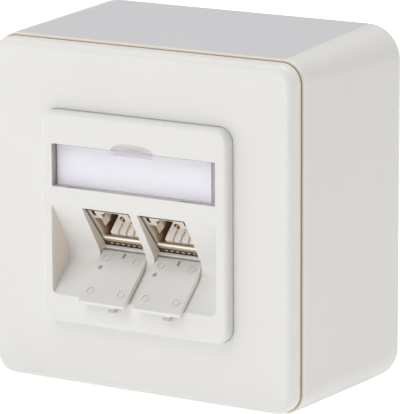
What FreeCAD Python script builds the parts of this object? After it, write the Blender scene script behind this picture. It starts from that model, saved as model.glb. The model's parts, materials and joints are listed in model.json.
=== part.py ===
import FreeCAD, Part
import math
import os

# Surface mount jack box: a moulded housing on the wall, an 80 mm cover frame, and a 50 mm centre
# plate with a label window and two downward-facing shielded jacks behind hinged dust covers.
# Millimetres. The origin is the centre of the wall face. X is right, Z is up and -Y is the front.

Vector = FreeCAD.Vector

# ---- driving dimensions ------------------------------------------------------------------------

# hood: the tapered outer housing, open at the wall
hood_depth = 42.4
hood_reveal = 0.6
hood_draft = 1.6
hood_back_corner = 8.0
hood_front_corner = 5.1
hood_wall = 2.2
hood_ledge = 2.4
hood_edge_round = 0.35
hood_opening_height = 60.0
hood_opening_corner = 5.0
knockout_width = 22.0
knockout_height = 14.0
knockout_skin = 0.8
knockout_groove = 0.3
knockout_line = 0.8

# wall base: the plate behind the hood, with its posts
base_thickness = 2.5
base_clearance = 0.3
base_lip_height = 5.0
base_lip_wall = 1.6
base_lip_inset = 1.0
wall_slot_spacing = 60.0
wall_slot_width = 4.6
wall_slot_length = 9.0
cable_hole_diameter = 26.0
post_inset = 5.4
post_diameter = 7.5

# screws
screw_diameter = 3.0
screw_head_diameter = 5.6
screw_head_height = 1.4
screw_head_round = 0.6
screw_clearance = 0.2
thread_clearance = 0.05
screw_grip = 6.0
bore_spare = 1.0
boss_floor = 1.0
drive_slot_width = 0.8
drive_slot_length = 3.6
drive_slot_depth = 0.7

# support frame: the pressed steel ring on the hood's front
ring_thickness = 1.0
ring_size = 68.0
ring_corner_cut = 13.0
ring_opening = 48.6
ring_opening_corner = 3.0
ring_slot_spacing = 60.0
ring_slot_width = 3.6
ring_slot_length = 7.0
ring_boss_diameter = 7.0

# cover frame
frame_size = 80.0
frame_corner = 4.7
frame_height = 4.25
frame_wall = 1.6
frame_edge_round = 1.7
seam_depth = 0.3
seam_height = 0.4

# centre plate
plate_size = 49.6
plate_corner = 3.4
plate_rise = 2.65
plate_wall = 1.5
plate_edge_round = 1.0
plate_gap = 0.12
seat_gap = 0.3

# label window and card
label_width = 43.5
label_height = 10.0
label_centre = 12.15
label_depth = 2.4
label_pocket_wall = 1.0
window_thickness = 1.1
window_gap = 0.15
window_set_back = 0.15
card_thickness = 0.3
card_end_gap = 2.2
window_grip_height = 0.9
window_tab_height = 0.85
clip_width = 5.0
clip_spacing = 30.0
clip_reach = 0.35
clip_gap = 0.3
clip_height = 0.6
notch_width = 11.4
notch_rise = 1.9
notch_depth = 1.0

# recess in the centre plate
recess_width = 43.9
recess_top = 2.8
recess_bottom = -18.3
recess_corner = 1.3
recess_fillet = 4.0
recess_wall = 1.5
wall_slant = 33.2
floor_slope = 41.0

# ports and dust covers
port_pitch = 14.7
port_width = 12.6
cheek_wall = 1.4
cover_thickness = 1.2
cover_side_gap = 0.2
cover_seat_gap = 0.3
cover_tip_gap = 0.5
hinge_pin_diameter = 1.0
hinge_pin_length = 0.9
hinge_pin_clearance = 0.05
sill_height = 1.3
sill_thickness = 0.6
sill_gap = 0.3
sill_drop = 0.35
cover_nub_width = 1.8
cover_nub_height = 1.1
cover_nub_length = 0.9
cover_nub_offset = 2.4
cover_groove_width = 0.8
cover_groove_length = 1.5
cover_groove_depth = 0.6
ejector_diameter = 2.0
ejector_ring = 0.3
ejector_depth = 0.2
ejector_spacing = 8.2
ejector_places = (2.0, 11.4)
gate_diameter = 1.1
gate_depth = 0.2
gate_offset = 4.65
gate_place = 4.7

# jacks, in their own frame: along the plug's way in, and up the jack's face
jack_tilt = 41.0
jack_down = 11.5
jack_back = 2.77
jack_width = 14.0
jack_length = 22.0
jack_floor = 3.1
jack_top = 10.1
jack_top_round = 0.4
jack_skin = 0.8
jack_gap = 0.45
jack_clear_depth = 4.0
plug_width = 11.9
plug_height = 6.9
plug_depth = 12.4
latch_width = 6.2
latch_rise = 1.8
latch_slot_width = 4.0
latch_slot_rise = 0.7
mouth_lip = 1.0
mouth_lip_round = 0.45
mouth_drop = 0.7
face_hole_width = 0.8
face_hole_height = 1.9
face_hole_spacing = 9.9
face_hole_rise = 1.7
face_hole_depth = 3.0
contact_count = 8
contact_pitch = 1.02
contact_diameter = 0.45
contact_rise = 2.6
contact_folds = (5.4, 4.4)
contact_tip = 9.9
comb_ramp = 0.15
comb_ramp_end = 2.6
comb_groove_end = 4.2
comb_groove = 0.6
comb_open_to = 10.4
comb_side_gap = 1.25
comb_base = 0.6
spring_thickness = 0.25
spring_start = 1.75
spring_reach = 3.6
spring_return = 1.6
spring_bend = 0.45
spring_low = 1.4
spring_height = 5.0
spring_pocket_depth = 0.35
spring_pocket_gap = 0.3
block_wall = 1.6
board_thickness = 1.6
board_margin = 0.3
wire_block_length = 5.4
wire_slot_width = 0.5
wire_slot_depth = 3.6
wire_trough = 3.3
cap_length = 7.0
cap_wall = 1.2
cable_diameter = 7.0
clamp_length = 4.0
clamp_split = 1.2

# module carrier: the moulded holder behind the support frame
carrier_flange = 1.6
carrier_gap = 0.3
carrier_wall = 1.6
carrier_rail = 1.95
carrier_screw_inset = 3.2
carrier_band = 6.2
carrier_bridge_height = 7.0
carrier_lip = 1.1
carrier_lip_height = 6.9
tray_start = 3.0
bar_start = 12.4
bar_length = 3.2

# earth terminal on the carrier
earth_width = 6.0
earth_thickness = 0.8
earth_length = 12.0
earth_hole_diameter = 1.5

# ---- places worked out from the sizes ----------------------------------------------------------

front_y = -hood_depth
frame_face_y = front_y - frame_height
plate_face_y = frame_face_y - plate_rise
hood_front_size = frame_size + 2 * hood_reveal
hood_back_size = hood_front_size + 2 * hood_draft
carrier_window_width = recess_width + 2 * (recess_wall + seat_gap)
carrier_width = carrier_window_width + 2 * carrier_rail
hood_opening_width = carrier_width + 2 * carrier_gap
ring_front_y = front_y - ring_thickness
skirt_back_y = ring_front_y - seat_gap

slant = math.radians(wall_slant)
slope = math.radians(floor_slope)
tilt = math.radians(jack_tilt)

# directions in the side view, as (y, z)
wall_down = (math.sin(slant), -math.cos(slant))
wall_in = (math.cos(slant), math.sin(slant))
floor_out = (-math.cos(slope), -math.sin(slope))
floor_up = (-math.sin(slope), math.cos(slope))
jack_in = (math.cos(tilt), math.sin(tilt))
jack_up = (-math.sin(tilt), math.cos(tilt))


def step(point, *moves):
    """A side-view point moved along one or more (direction, distance) pairs."""
    y, z = point
    for direction, distance in moves:
        y += direction[0] * distance
        z += direction[1] * distance
    return (y, z)


def crossing(point_a, along_a, point_b, along_b):
    """Where two side-view lines cross."""
    det = along_b[0] * along_a[1] - along_a[0] * along_b[1]
    dy = point_b[0] - point_a[0]
    dz = point_b[1] - point_a[1]
    reach = (along_b[0] * dz - along_b[1] * dy) / det
    return step(point_a, (along_a, reach))


recess_edge = (plate_face_y, recess_top)
recess_foot = (plate_face_y, recess_bottom)


def on_wall(down, inward):
    """A point by its distance down the slanted wall from its top edge, and into the wall."""
    return step(recess_edge, (wall_down, down), (wall_in, inward))


# the dust cover lies on the floor when open and fills its port when closed, so its hinge line is
# as far above the floor as it is behind the slanted wall
hinge_inset = cover_seat_gap + cover_thickness / 2
hinge_line = crossing(
    step(recess_edge, (wall_in, hinge_inset)), wall_down,
    step(recess_foot, (floor_up, hinge_inset)), floor_out,
)
hinge_down = ((hinge_line[0] - recess_edge[0]) * wall_down[0]
              + (hinge_line[1] - recess_edge[1]) * wall_down[1])
cover_length = hinge_down - cover_tip_gap
cover_width = port_width - 2 * cover_side_gap

jack_mouth = on_wall(jack_down, jack_back)


def on_jack(inward, up):
    """A point by its distance in from the jack's face, and up from the plug opening's floor."""
    return step(jack_mouth, (jack_in, inward), (jack_up, up))


# ---- shared shapes -----------------------------------------------------------------------------

over = 1.0
cut_reach = 4.0
well_cut_height = 3.0
same_place = 1e-4
threaded_hole = screw_diameter + 2 * thread_clearance
clear_hole = screw_diameter + 2 * screw_clearance


def side_prism(points, x_from, x_to):
    """A prism along X on a side-view outline of (y, z) points."""
    corners = [Vector(x_from, y, z) for y, z in points]
    face = Part.Face(Part.makePolygon(corners + corners[:1]))
    return face.extrude(Vector(x_to - x_from, 0, 0))


def block(x_from, x_to, y_from, y_to, z_from, z_to):
    """A box by its limits."""
    size = (x_to - x_from, y_to - y_from, z_to - z_from)
    return Part.makeBox(*size, Vector(x_from, y_from, z_from))


def round_rect(width, height, corner, y, centre_z=0.0):
    """A closed wire round a rectangle with rounded corners, facing the front."""
    w, h, r = width / 2, height / 2, corner
    k = r * (1 - math.sqrt(0.5))
    edges = []
    for sx, sz in ((1, 1), (-1, 1), (-1, -1), (1, -1)):
        a = Vector(sx * w, y, centre_z + sz * (h - r))
        b = Vector(sx * (w - r), y, centre_z + sz * h)
        middle = Vector(sx * (w - k), y, centre_z + sz * (h - k))
        if sx * sz < 0:
            a, b = b, a
        edges.append((a, middle, b))
    outline = []
    for i, (a, middle, b) in enumerate(edges):
        outline.append(Part.Arc(a, middle, b).toShape())
        outline.append(Part.LineSegment(b, edges[(i + 1) % 4][0]).toShape())
    return Part.Wire(outline)


def round_prism(width, height, corner, y_from, y_to, centre_z=0.0):
    """A prism along Y on a rounded rectangle."""
    face = Part.Face(round_rect(width, height, corner, y_from, centre_z))
    return face.extrude(Vector(0, y_to - y_from, 0))


def rod_y(diameter, x, z, y_from, y_to):
    """A round bar along Y."""
    return Part.makeCylinder(diameter / 2, y_to - y_from, Vector(x, y_from, z), Vector(0, 1, 0))


def rod_x(diameter, point, x_from, x_to):
    """A round bar along X through a side-view point."""
    start = Vector(x_from, point[0], point[1])
    return Part.makeCylinder(diameter / 2, x_to - x_from, start, Vector(1, 0, 0))


def slot_y(width, length, x, z, y_from, y_to):
    """A slot along X with round ends, cut along Y."""
    half = (length - width) / 2
    bar = block(x - half, x + half, y_from, y_to, z - width / 2, z + width / 2)
    ends = [rod_y(width, x + side * half, z, y_from, y_to) for side in (-1, 1)]
    return bar.fuse(ends).removeSplitter()


def front_edges(shape, y):
    """The edges that lie in the plane facing the front at y."""
    return [e for e in shape.Edges
            if abs(e.BoundBox.YMin - y) < same_place and abs(e.BoundBox.YMax - y) < same_place]


def edges_across(shape, point):
    """The edges that run along X through a side-view point."""
    return [e for e in shape.Edges
            if max(abs(v.Y - point[0]) + abs(v.Z - point[1]) for v in e.Vertexes) < same_place
            and e.BoundBox.YLength < 10 * same_place]


def jack_box(x_centre, width, in_from, in_to, up_from, up_to):
    """A box in the jack's own frame, centred across on x_centre."""
    corners = [on_jack(in_from, up_from), on_jack(in_to, up_from),
               on_jack(in_to, up_to), on_jack(in_from, up_to)]
    return side_prism(corners, x_centre - width / 2, x_centre + width / 2)


def screw(x, z, seat_y, length, into=1):
    """A pan head screw with a cross slot, its head seated at seat_y; into is -1 from behind."""
    outward = Vector(0, -into, 0)
    seat = Vector(x, seat_y, z)
    head = Part.makeCylinder(screw_head_diameter / 2, screw_head_height, seat, outward)
    top_y = seat_y - into * screw_head_height
    head = head.makeFillet(screw_head_round, front_edges(head, top_y))
    shank = Part.makeCylinder(screw_diameter / 2, length, seat, Vector(0, into, 0))
    half = drive_slot_length / 2
    wide = drive_slot_width / 2
    low_y, high_y = sorted((top_y, top_y + into * drive_slot_depth))
    cross = block(x - half, x + half, low_y, high_y, z - wide, z + wide).fuse(
        block(x - wide, x + wide, low_y, high_y, z - half, z + half))
    return head.fuse(shank).cut(cross).removeSplitter()


def group(shapes):
    return Part.makeCompound(shapes)


# ---- housing -----------------------------------------------------------------------------------

post_reach = hood_front_size / 2 - hood_wall - post_inset
post_places = [(-post_reach, post_reach), (post_reach, -post_reach)]
ring_screw_places = [(-ring_slot_spacing / 2, 0.0), (ring_slot_spacing / 2, 0.0)]
ledge_back_y = front_y + hood_ledge


def make_hood():
    """The tapered shell with its front ledge, screw holes, bosses and cable break-outs."""
    outer = Part.makeLoft([
        round_rect(hood_back_size, hood_back_size, hood_back_corner, 0),
        round_rect(hood_front_size, hood_front_size, hood_front_corner, front_y),
    ], True, True)
    outer = outer.makeFillet(hood_edge_round, front_edges(outer, front_y))
    wall = 2 * hood_wall
    # the hollow keeps the taper of the outside as far as the ledge
    taper = (hood_back_size - hood_front_size) / hood_depth * hood_ledge
    inner = Part.makeLoft([
        round_rect(hood_back_size - wall, hood_back_size - wall,
                   hood_back_corner - hood_wall, 0),
        round_rect(hood_front_size + taper - wall, hood_front_size + taper - wall,
                   hood_front_corner - hood_wall, ledge_back_y),
    ], True, True)
    shape = outer.cut(inner)
    shape = shape.cut(round_prism(hood_opening_width, hood_opening_height, hood_opening_corner,
                                  front_y - over, ledge_back_y + over))
    for x, z in post_places:
        shape = shape.cut(rod_y(clear_hole, x, z, front_y - over, ledge_back_y + over))
    bore_end_y = front_y + screw_grip + bore_spare
    boss_end_y = bore_end_y + boss_floor
    for x, z in ring_screw_places:
        boss = rod_y(ring_boss_diameter, x, z, ledge_back_y, boss_end_y)
        far = math.copysign(hood_front_size / 2 - hood_wall, x)
        web = block(min(x, far), max(x, far), ledge_back_y, boss_end_y,
                    -hood_wall / 2, hood_wall / 2)
        shape = shape.fuse([boss, web])
        shape = shape.cut(rod_y(threaded_hole, x, z, front_y - over, bore_end_y))
    return cut_knockout(shape.removeSplitter())


def lower_side(y, inward):
    """A side-view point in the hood's lower wall, measured in from its drafted outer face."""
    half = hood_back_size / 2
    draft = (hood_back_size - hood_front_size) / 2 / hood_depth
    return (y, -half - y * draft + inward)


def cut_knockout(shape):
    """The cable break-out in the lower side: a thin skin, with a scored outline outside."""
    back = -base_thickness - base_lip_height
    front = back - knockout_height
    half = knockout_width / 2
    thin = side_prism([lower_side(back, knockout_skin), lower_side(front, knockout_skin),
                       lower_side(front, hood_wall + over), lower_side(back, hood_wall + over)],
                      -half, half)
    scored = []
    for grow in (0, knockout_line):
        scored.append(side_prism([
            lower_side(back + grow - knockout_line, -over),
            lower_side(front - grow + knockout_line, -over),
            lower_side(front - grow + knockout_line, knockout_groove),
            lower_side(back + grow - knockout_line, knockout_groove),
        ], knockout_line - grow - half, half + grow - knockout_line))
    return shape.cut([thin, scored[1].cut(scored[0])])


def make_wall_base():
    """The plate on the wall: slots for the wall screws, the cable hole, a lip and two posts."""
    size = hood_back_size - 2 * (hood_wall + base_clearance)
    corner = hood_back_corner - hood_wall - base_clearance
    shape = round_prism(size, size, corner, -base_thickness, 0)
    lip_size = size - 2 * base_lip_inset
    lip_corner = corner - base_lip_inset
    lip = round_prism(lip_size, lip_size, lip_corner, -base_thickness - base_lip_height,
                      -base_thickness)
    hollow = round_prism(lip_size - 2 * base_lip_wall, lip_size - 2 * base_lip_wall,
                         lip_corner - base_lip_wall, -base_thickness - base_lip_height - over,
                         -base_thickness)
    shape = shape.fuse(lip.cut(hollow))
    posts = [rod_y(post_diameter, x, z, ledge_back_y, -base_thickness) for x, z in post_places]
    shape = shape.fuse(posts)
    for x, z in post_places:
        shape = shape.cut(rod_y(threaded_hole, x, z, ledge_back_y - over,
                                ledge_back_y + screw_grip + bore_spare))
    shape = shape.cut(rod_y(cable_hole_diameter, 0, 0, -base_thickness - over, over))
    for side in (-1, 1):
        shape = shape.cut(slot_y(wall_slot_width, wall_slot_length,
                                 side * wall_slot_spacing / 2, 0, -base_thickness - over, over))
    return shape.removeSplitter()


def make_hood_screws():
    length = screw_grip + hood_ledge
    return group([screw(x, z, front_y, length) for x, z in post_places])


# ---- support frame and cover frame -------------------------------------------------------------

carrier_back_y = front_y + carrier_flange
carrier_height = hood_opening_height - 2 * carrier_gap
carrier_screw_z = carrier_height / 2 - carrier_screw_inset
carrier_screw_places = [(0.0, carrier_screw_z), (0.0, -carrier_screw_z)]


def make_support_frame():
    """The pressed steel ring with cut corners, slots for its own screws and holes for the carrier."""
    half = ring_size / 2
    cut = ring_corner_cut
    outline = [(half - cut, half), (half, half - cut), (half, cut - half), (half - cut, -half),
               (cut - half, -half), (-half, cut - half), (-half, half - cut), (cut - half, half)]
    corners = [Vector(x, ring_front_y, z) for x, z in outline]
    plate = Part.Face(Part.makePolygon(corners + corners[:1])).extrude(
        Vector(0, ring_thickness, 0))
    plate = plate.cut(round_prism(ring_opening, ring_opening, ring_opening_corner,
                                  ring_front_y - over, front_y + over))
    for x, z in ring_screw_places:
        plate = plate.cut(slot_y(ring_slot_width, ring_slot_length, x, z,
                                 ring_front_y - over, front_y + over))
    for x, z in carrier_screw_places:
        plate = plate.cut(rod_y(threaded_hole, x, z, ring_front_y - over, front_y + over))
    return plate


def make_cover_frame():
    """The 80 mm frame: a rounded outer skirt on the hood, a collar round the centre plate."""
    shape = round_prism(frame_size, frame_size, frame_corner, frame_face_y, front_y)
    shape = shape.makeFillet(frame_edge_round, front_edges(shape, frame_face_y))
    inside = frame_size - 2 * frame_wall
    hollow = round_prism(inside, inside, frame_corner - frame_wall,
                         frame_face_y + frame_wall, front_y + over)
    opening = plate_size + 2 * plate_gap
    collar = opening + 2 * frame_wall
    collar_corner = plate_corner + plate_gap + frame_wall
    hollow = hollow.cut(round_prism(collar, collar, collar_corner,
                                    frame_face_y, ring_front_y))
    # a small step round the back of the skirt leaves a shadow line against the hood
    core = frame_size - 2 * seam_depth
    band = round_prism(frame_size + over, frame_size + over, frame_corner, front_y - seam_height,
                       front_y + over)
    band = band.cut(round_prism(core, core, frame_corner - seam_depth, front_y - seam_height,
                                front_y + over))
    shape = shape.cut([hollow, band])
    return shape.cut(round_prism(opening, opening, plate_corner + plate_gap,
                                 frame_face_y - over, front_y + over))


# ---- centre plate ------------------------------------------------------------------------------

port_centres = {"left": -port_pitch / 2, "right": port_pitch / 2}
label_floor_y = plate_face_y + label_depth
plate_screw_head_y = label_floor_y + screw_head_height + screw_clearance
plate_boss_back_y = front_y - seat_gap


def recess_outline(grow):
    """The side-view outline of the recess, pushed out by grow, without its crease fillet."""
    top = step(recess_edge, (wall_in, grow), (wall_down, -grow - cut_reach))
    crease = crossing(step(recess_edge, (wall_in, grow)), wall_down,
                      step(recess_foot, (floor_up, -grow)), floor_out)
    foot = step(recess_foot, (floor_up, -grow), (floor_out, cut_reach))
    return [top, crease, foot, (foot[0], top[1])]


def recess_body(grow, width, crease_radius):
    """The recess as a solid: its slanted wall, its rounded crease and its floor."""
    shape = side_prism(recess_outline(grow), -width / 2, width / 2)
    crease = recess_outline(grow)[1]
    return shape.makeFillet(crease_radius, edges_across(shape, crease))


def port_cut(x_centre):
    """The way through the slanted wall for one plug, with the well for the cover's hinge."""
    reach = jack_back * 2
    low = step(hinge_line, (floor_up, -hinge_inset))
    outline = [on_wall(0, -cut_reach), on_wall(0, reach), step(low, (wall_in, reach)), low,
               step(low, (floor_out, recess_fillet * 2)),
               step(low, (floor_out, recess_fillet * 2), (floor_up, well_cut_height))]
    return side_prism(outline, x_centre - port_width / 2, x_centre + port_width / 2)


def cheek(x_from, x_to):
    """A rib beside a port, from the recess wall back to just in front of the jack's face."""
    hinge_up = ((hinge_line[0] - jack_mouth[0]) * jack_up[0]
                + (hinge_line[1] - jack_mouth[1]) * jack_up[1])
    low = hinge_up - hinge_pin_diameter / 2 - cheek_wall
    outline = [on_wall(0, 0), on_wall(0, plate_wall / 2), on_jack(-jack_gap, jack_top),
               on_jack(-jack_gap, low), on_jack(-jack_gap - recess_fillet * 2, low)]
    return side_prism(outline, x_from, x_to)


def make_centre_plate():
    """The 50 mm plate: skirt, recess with two ports, label pocket, screw boss and snap windows."""
    outer = round_prism(plate_size, plate_size, plate_corner, plate_face_y, skirt_back_y)
    outer = outer.makeFillet(plate_edge_round, front_edges(outer, plate_face_y))
    inside = plate_size - 2 * plate_wall
    shape = outer.cut(round_prism(inside, inside, plate_corner - plate_wall,
                                  plate_face_y + plate_wall, skirt_back_y + over))
    # the recess stands out behind the plate as a shell of even thickness
    behind = block(-plate_size, plate_size, plate_face_y + plate_wall / 2, 0,
                   -inside / 2, recess_top + plate_wall)
    shell = recess_body(recess_wall, recess_width + 2 * recess_wall,
                        recess_fillet + recess_wall).common(behind)
    cheeks = []
    outer_cheek = port_pitch / 2 + port_width / 2
    cheeks.append(cheek(port_width / 2 - port_pitch / 2, port_pitch / 2 - port_width / 2))
    cheeks.append(cheek(outer_cheek, outer_cheek + cheek_wall))
    cheeks.append(cheek(-outer_cheek - cheek_wall, -outer_cheek))
    shape = shape.fuse([shell] + cheeks)
    # label pocket with its walls, and the boss that the fixing screw bears on
    pocket = block(-label_width / 2 - label_pocket_wall, label_width / 2 + label_pocket_wall,
                   plate_face_y + plate_wall / 2, label_floor_y + label_pocket_wall,
                   label_centre - label_height / 2 - label_pocket_wall,
                   label_centre + label_height / 2 + label_pocket_wall)
    boss_diameter = screw_head_diameter + 2 * (screw_clearance + label_pocket_wall)
    boss = rod_y(boss_diameter, 0, label_centre, label_floor_y, plate_boss_back_y)
    shape = shape.fuse([pocket, boss])
    shape = shape.cut(block(-label_width / 2, label_width / 2, plate_face_y - over, label_floor_y,
                            label_centre - label_height / 2, label_centre + label_height / 2))
    shape = shape.cut(rod_y(screw_head_diameter + 2 * screw_clearance, 0, label_centre,
                            label_floor_y - over, plate_screw_head_y))
    shape = shape.cut(rod_y(clear_hole, 0, label_centre, label_floor_y - over,
                            plate_boss_back_y + over))
    shape = shape.cut(finger_notch())
    for x in (-clip_spacing / 2, clip_spacing / 2):
        shape = shape.cut(clip_box(x, clip_gap))
    # hollow out the recess and open the ports
    hollow = recess_body(0, recess_width, recess_fillet)
    front_limit = round_prism(recess_width, recess_top - recess_bottom + 2 * recess_corner,
                              recess_corner, plate_face_y - over, 0,
                              (recess_top + recess_bottom) / 2 + recess_corner)
    shape = shape.cut(hollow.common(front_limit))
    for x in port_centres.values():
        shape = shape.cut(port_cut(x))
        # room for the corners of the jack, which is wider than its port
        shape = shape.cut(jack_box(x, jack_width + 2 * jack_gap, -jack_gap, jack_clear_depth,
                                   -jack_floor - jack_gap, jack_top + jack_gap))
    sills = [sill(x) for x in port_centres.values()]
    shape = shape.fuse(sills)
    for x in port_centres.values():
        pin = hinge_pin_diameter + 2 * hinge_pin_clearance
        reach = port_width / 2 + hinge_pin_length
        shape = shape.cut(rod_x(pin, hinge_line, x - reach, x + reach))
    return shape.removeSplitter()


def sill(x_centre):
    """The bar under the jack that the closed dust cover rests against."""
    depth = cover_seat_gap + cover_thickness + sill_gap
    back = depth + sill_thickness
    low = hinge_down + sill_drop
    high = low - sill_height
    outline = [on_wall(high, depth), on_wall(low, depth), on_wall(low, back), on_wall(high, back)]
    return side_prism(outline, x_centre - port_width / 2, x_centre + port_width / 2)


def finger_notch(inset=0.0):
    """A shallow scoop above the window for a fingernail, or with inset what fits inside it."""
    matrix = FreeCAD.Matrix()
    matrix.scale(notch_width / 2 - inset, notch_depth - inset, notch_rise - inset)
    matrix.move(Vector(0, plate_face_y, label_centre + label_height / 2))
    return Part.makeSphere(1.0).transformGeometry(matrix)


def clip_box(x, grow):
    """A snap lug on the window's lower edge, or with grow the slot that it snaps into."""
    y_to = plate_face_y + window_set_back + window_thickness
    z_to = label_centre - label_height / 2 + window_gap
    half = clip_width / 2 + grow
    return block(x - half, x + half, y_to - clip_height - grow, y_to + grow,
                 z_to - clip_reach - window_gap - grow, z_to)


def make_label_card():
    gap = window_gap
    return block(gap - label_width / 2, label_width / 2 - card_end_gap, label_floor_y - card_thickness,
                 label_floor_y, label_centre - label_height / 2 + gap,
                 label_centre + label_height / 2 - gap)


def make_plate_screw():
    length = carrier_back_y - plate_screw_head_y
    return screw(0, label_centre, plate_screw_head_y, length)


def make_dust_cover(x_centre):
    """A flat flap with a round hinge root, two pins, a finger nub and a shallow groove."""
    half = cover_thickness / 2
    tip = step(hinge_line, (floor_out, cover_length))
    outline = [step(hinge_line, (floor_up, half)), step(tip, (floor_up, half)),
               step(tip, (floor_up, -half)), step(hinge_line, (floor_up, -half))]
    x_from, x_to = x_centre - cover_width / 2, x_centre + cover_width / 2
    plate = side_prism(outline, x_from, x_to)
    root = rod_x(cover_thickness, hinge_line, x_from, x_to)
    reach = hinge_pin_length - cover_side_gap
    pins = rod_x(hinge_pin_diameter, hinge_line, x_from - reach, x_to + reach)
    nub_x = x_centre + cover_nub_offset
    low_y, low_z = step(tip, (floor_up, -half))
    nub = side_prism([
        tip,
        (low_y, low_z),
        (low_y, low_z - cover_nub_height),
        (low_y + cover_nub_length, low_z - cover_nub_height),
        (low_y + cover_nub_length, low_z + cover_nub_length),
    ], nub_x - cover_nub_width / 2, nub_x + cover_nub_width / 2)
    shape = plate.fuse([root, pins, nub])
    deep = half - cover_groove_depth
    groove = side_prism([
        step(hinge_line, (floor_up, deep)),
        step(hinge_line, (floor_up, deep), (floor_out, cover_groove_length)),
        step(hinge_line, (floor_up, half + over), (floor_out, cover_groove_length)),
        step(hinge_line, (floor_up, half + over)),
    ], x_centre - cover_groove_width / 2, x_centre + cover_groove_width / 2)
    marks = [cover_mark(x_centre - gate_offset, gate_place, gate_diameter, gate_depth)]
    for side in (-1, 1):
        for place in ejector_places:
            x = x_centre + side * ejector_spacing / 2
            disc = cover_mark(x, place, ejector_diameter, ejector_depth)
            inner = cover_mark(x, place, ejector_diameter - 2 * ejector_ring, ejector_depth)
            marks.append(disc.cut(inner))
    return shape.cut(marks + [groove]).removeSplitter()


def cover_mark(x, place, diameter, depth):
    """A round moulding mark sunk into the cover's upper face, by its distance from the hinge."""
    y, z = step(hinge_line, (floor_out, place), (floor_up, cover_thickness / 2 - depth))
    return Part.makeCylinder(diameter / 2, over, Vector(x, y, z), Vector(0, *floor_up))


def make_label_window():
    """The clear lid over the card: it tips out about its lower front edge, held by two lugs."""
    gap = window_gap
    front = plate_face_y + window_set_back
    shape = block(gap - label_width / 2, label_width / 2 - gap, front, front + window_thickness,
                  label_centre - label_height / 2 + gap, label_centre + label_height / 2 - gap)
    lugs = [clip_box(side * clip_spacing / 2, 0) for side in (-1, 1)]
    top = label_centre + label_height / 2 - gap
    grip = block(-notch_width / 2, notch_width / 2, plate_face_y, front,
                 top - window_grip_height, top)
    # the tab stands up into the scoop, where a fingernail catches it
    tab = finger_notch(gap).common(block(-notch_width, notch_width, plate_face_y,
                                         front + window_thickness, top, top + window_tab_height))
    return shape.fuse(lugs + [grip, tab]).removeSplitter()


# ---- module carrier and earth strip ------------------------------------------------------------

carrier_side = port_pitch / 2 + jack_width / 2 + carrier_gap
jack_stop = jack_length + carrier_gap


def make_module_carrier():
    """The moulded holder: a flange behind the support frame, two side plates, a tray and a bar."""
    corner = hood_opening_corner - carrier_gap
    shape = round_prism(carrier_width, carrier_height, corner, front_y, carrier_back_y)
    # window for the centre plate's recess and the jacks, and one for the installer's wires
    bridge_low = label_centre - carrier_bridge_height / 2
    bridge_high = label_centre + carrier_bridge_height / 2
    half = carrier_window_width / 2
    shape = shape.cut(block(-half, half, front_y - over, carrier_back_y + over,
                            carrier_band - carrier_height / 2, bridge_low))
    shape = shape.cut(block(-carrier_side, carrier_side, front_y - over, carrier_back_y + over,
                            bridge_high, carrier_height / 2 - carrier_band))
    under = -jack_floor - carrier_gap
    low = under - carrier_wall
    high = jack_top + earth_thickness + carrier_gap + carrier_wall
    end = jack_stop + carrier_wall
    flange_y = front_y + carrier_flange / 2
    outline = [(flange_y, bridge_high), (flange_y, bridge_low), on_jack(jack_width / 2, jack_top),
               on_jack(carrier_wall, 0), on_jack(carrier_wall, low), on_jack(end, low),
               on_jack(end, high)]
    for side in (-1, 1):
        edge = side * carrier_side
        outer = side * (carrier_side + carrier_wall)
        shape = shape.fuse(side_prism(outline, edge, outer))
        # a lip behind each outer jack corner keeps the jack from being pushed back
        lip = [on_jack(jack_stop, 0), on_jack(end, 0), on_jack(end, carrier_lip_height),
               on_jack(jack_stop, carrier_lip_height)]
        shape = shape.fuse(side_prism(lip, edge, edge - side * carrier_lip))
    tray = jack_box(0, carrier_side * 2, tray_start, jack_length, low, under)
    bar = jack_box(0, carrier_side * 2, bar_start, bar_start + bar_length,
                   high - carrier_wall, high)
    shape = shape.fuse([tray, bar])
    for x, z in carrier_screw_places:
        shape = shape.cut(rod_y(clear_hole, x, z, front_y - over, carrier_back_y + over))
    shape = shape.cut(rod_y(threaded_hole, 0, label_centre, front_y - over,
                            carrier_back_y + over))
    return shape.removeSplitter()


def make_earth_strip():
    """The brass strip clamped between the bar and both jack shells, with a push-on tab."""
    reach = carrier_side - carrier_gap
    top = jack_top + earth_thickness
    strip = jack_box(0, reach * 2, bar_start, bar_start + bar_length, jack_top, top)
    end = bar_start + earth_length
    tab = jack_box(0, earth_width, bar_start, end, jack_top, top)
    y, z = on_jack(end - earth_width / 2, jack_top - over)
    hole = Part.makeCylinder(earth_hole_diameter / 2, earth_thickness + 2 * over,
                             Vector(0, y, z), Vector(0, *jack_up))
    return strip.fuse(tab).cut(hole).removeSplitter()


def make_carrier_screws():
    length = carrier_flange + ring_thickness
    return group([screw(x, z, carrier_back_y, length, into=-1) for x, z in carrier_screw_places])


def make_support_frame_screws():
    return group([screw(x, z, ring_front_y, screw_grip + ring_thickness)
                  for x, z in ring_screw_places])


# ---- jacks -------------------------------------------------------------------------------------

chamber_floor = jack_skin - jack_floor
chamber_width = jack_width - 2 * jack_skin
chamber_top = jack_top - jack_skin
board_front = plug_depth + block_wall
board_back = board_front + board_thickness
board_width = chamber_width - 2 * board_margin
board_low = chamber_floor + board_margin
board_high = chamber_top - board_margin
block_back = board_back + wire_block_length
contact_row = chamber_floor + comb_base + contact_diameter / 2


def contact_offsets():
    """The eight contacts' places across the jack."""
    first = -contact_pitch * (contact_count - 1) / 2
    return [first + i * contact_pitch for i in range(contact_count)]


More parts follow.
